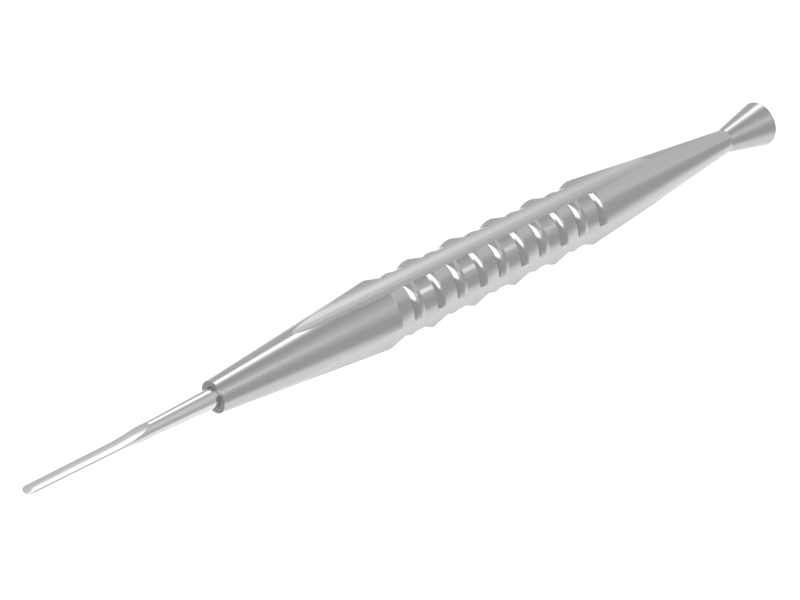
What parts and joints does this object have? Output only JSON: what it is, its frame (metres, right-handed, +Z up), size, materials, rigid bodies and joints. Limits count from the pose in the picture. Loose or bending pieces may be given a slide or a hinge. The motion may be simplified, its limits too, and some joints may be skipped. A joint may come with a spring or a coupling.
{
  "type": "periotome",
  "caption": "Slim double-edged dental blade on a turned steel handle with a ringed, fluted grip and a flared tapping end.",
  "frame": {"origin": "on the surface it lies on, under the middle of its overall length and width", "axes": "+X along the instrument's axis, from the blade's tip towards the flared tapping end; +Y across it; +Z up, with one flute of the grip facing down"},
  "size_m": [0.1524, 0.011, 0.0102],
  "materials": {
    "handle_steel": "satin stainless steel, turned, with milled flutes",
    "blade_steel": "bright polished stainless steel"
  },
  "bodies": {
    "root": {"handle": "handle_steel", "blade": "blade_steel"}
  },
  "joints": []
}
